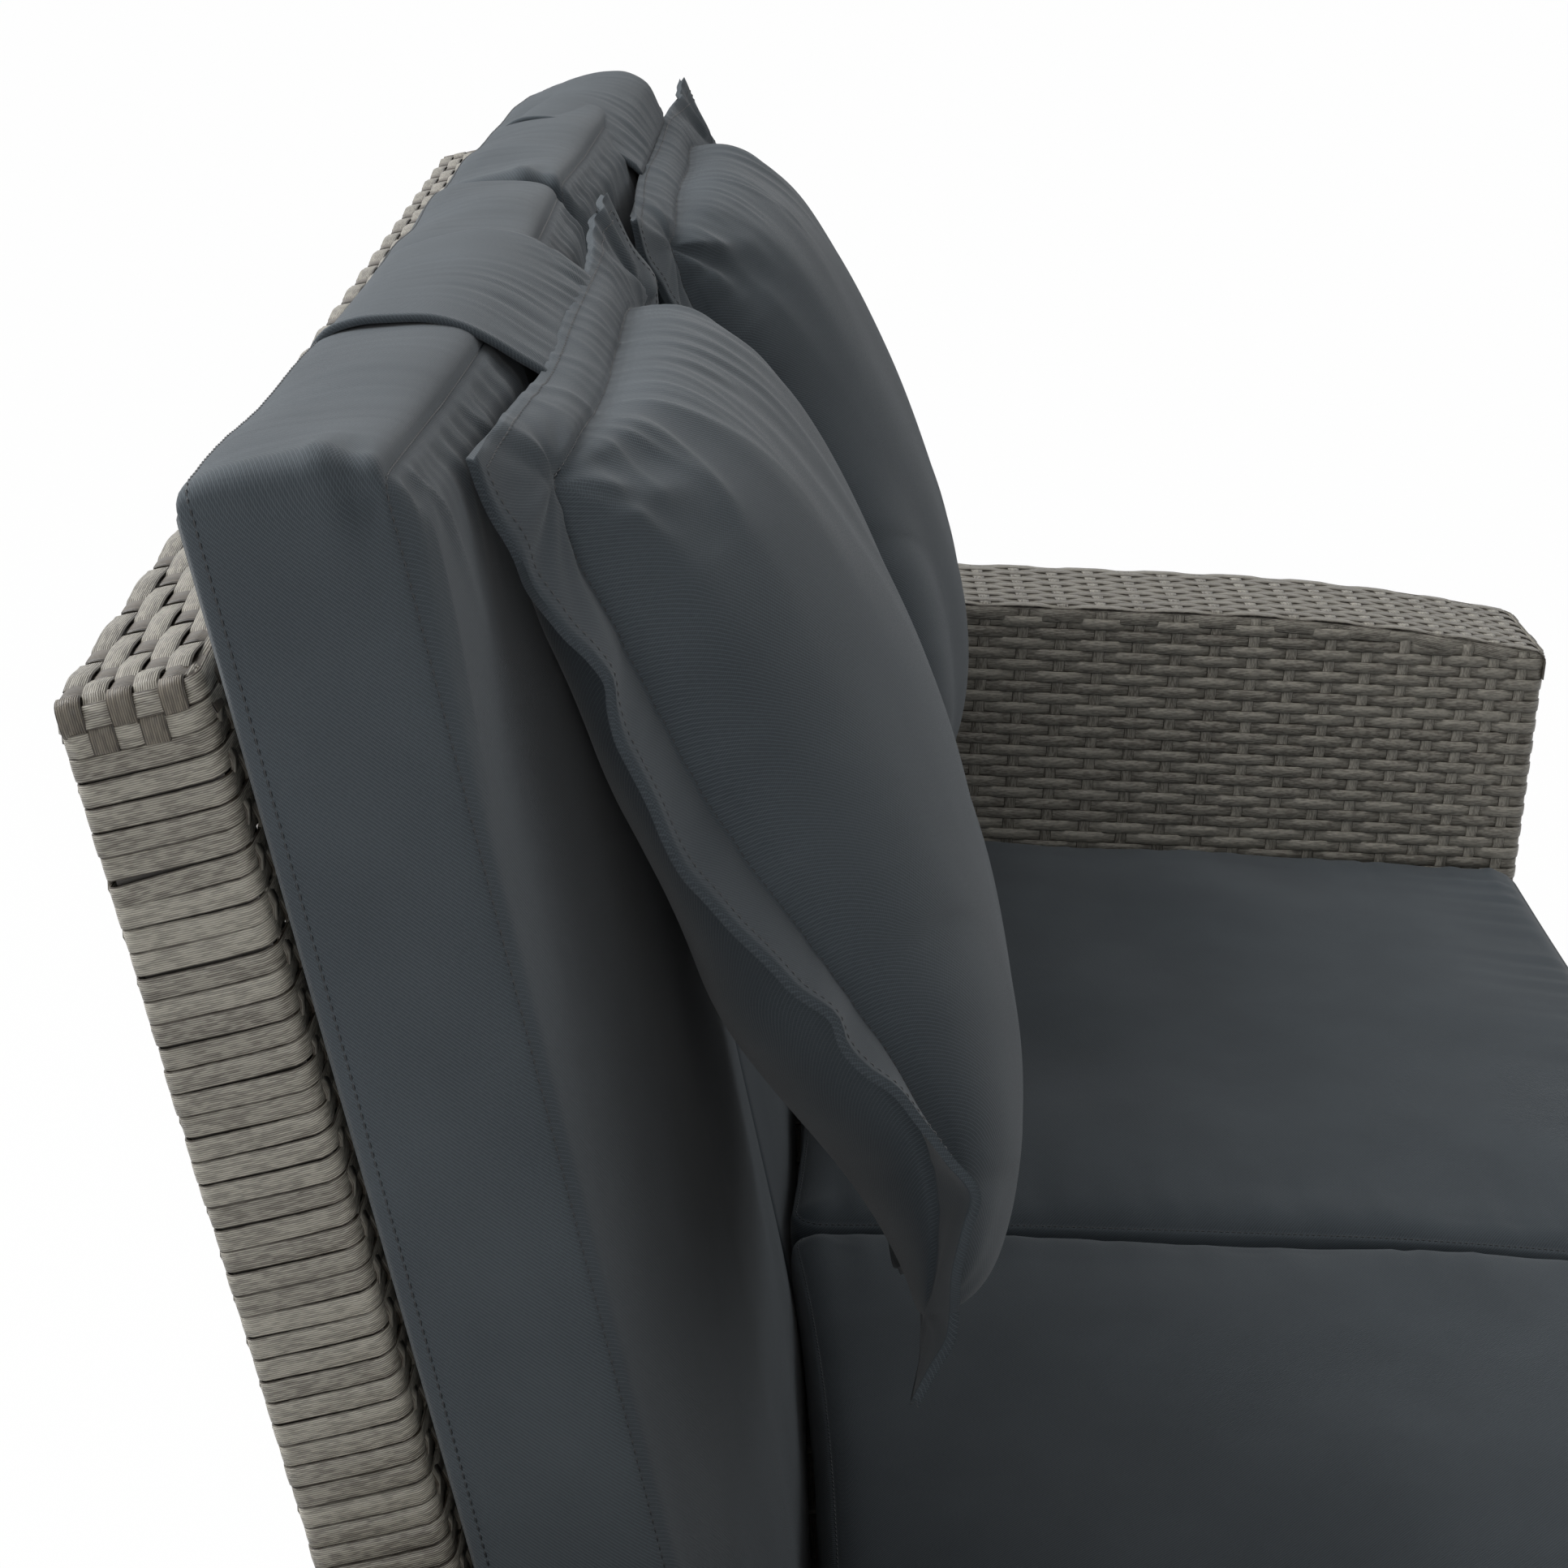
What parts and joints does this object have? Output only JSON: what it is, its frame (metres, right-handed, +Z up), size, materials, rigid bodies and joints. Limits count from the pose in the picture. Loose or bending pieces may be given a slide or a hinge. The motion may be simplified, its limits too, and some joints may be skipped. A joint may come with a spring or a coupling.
{
  "type": "garden sofa",
  "caption": "Woven rattan garden sofa with box arms, a leaning back, loose seat and back cushions, and flanged pillows that hang over the back on cloth flaps",
  "frame": {"origin": "On the floor, under the middle of the sofa's outer box", "axes": "+X along the sofa from the pictured end to the far end, +Y to the rear so that the front faces -Y, +Z up"},
  "size_m": [1.434, 0.7978, 0.9966],
  "materials": {
    "strand": "grooved resin strand, grey-brown, satin",
    "frame": "dark powder coat",
    "zinc": "zinc plated",
    "foot": "moulded, matte",
    "cloth": "slate grey canvas"
  },
  "bodies": {
    "sofa": {"seat_frame": "frame", "deck_weave": "strand", "apron_weave": "strand", "apron_frame": "frame", "back_weave": "strand", "back_frame": "frame", "arm_weave_near": "strand", "arm_frame_near": "frame", "foot_near_front": "foot", "foot_near_rear": "foot", "bracket_near": "zinc", "arm_weave_far": "strand", "arm_frame_far": "frame", "foot_far_front": "foot", "foot_far_rear": "foot", "bracket_far": "zinc", "arm_bolt_near_1": "zinc", "arm_washer_near_1": "zinc", "arm_bolt_near_2": "zinc", "arm_washer_near_2": "zinc", "back_bolt_near": "zinc", "back_washer_near": "zinc", "apron_bolt_near": "zinc", "apron_washer_near": "zinc", "bracket_arm_bolt_near": "zinc", "bracket_arm_washer_near": "zinc", "bracket_back_bolt_near": "zinc", "bracket_back_washer_near": "zinc", "arm_bolt_far_1": "zinc", "arm_washer_far_1": "zinc", "arm_bolt_far_2": "zinc", "arm_washer_far_2": "zinc", "back_bolt_far": "zinc", "back_washer_far": "zinc", "apron_bolt_far": "zinc", "apron_washer_far": "zinc", "bracket_arm_bolt_far": "zinc", "bracket_arm_washer_far": "zinc", "bracket_back_bolt_far": "zinc", "bracket_back_washer_far": "zinc"},
    "seat_cushion_near": {"seat_cushion_near": "cloth"},
    "back_cushion_near": {"back_cushion_near": "cloth"},
    "pillow_near": {"pillow_near": "cloth", "pillow_flap_near": "cloth"},
    "seat_cushion_far": {"seat_cushion_far": "cloth"},
    "back_cushion_far": {"back_cushion_far": "cloth"},
    "pillow_far": {"pillow_far": "cloth", "pillow_flap_far": "cloth"}
  },
  "joints": [
    {"name": "seat_cushion_near_out", "type": "slide", "parent": "sofa", "child": "seat_cushion_near", "axis": [0, -1, 0], "range_m": [0, 0.3]},
    {"name": "back_cushion_near_lift", "type": "slide", "parent": "sofa", "child": "back_cushion_near", "axis": [0, 0.247, 0.969], "range_m": [0, 0.3]},
    {"name": "pillow_near_lift", "type": "slide", "parent": "back_cushion_near", "child": "pillow_near", "axis": [0, 0.247, 0.969], "range_m": [0, 0.25]},
    {"name": "seat_cushion_far_out", "type": "slide", "parent": "sofa", "child": "seat_cushion_far", "axis": [0, -1, 0], "range_m": [0, 0.3]},
    {"name": "back_cushion_far_lift", "type": "slide", "parent": "sofa", "child": "back_cushion_far", "axis": [0, 0.247, 0.969], "range_m": [0, 0.3]},
    {"name": "pillow_far_lift", "type": "slide", "parent": "back_cushion_far", "child": "pillow_far", "axis": [0, 0.247, 0.969], "range_m": [0, 0.25]}
  ]
}
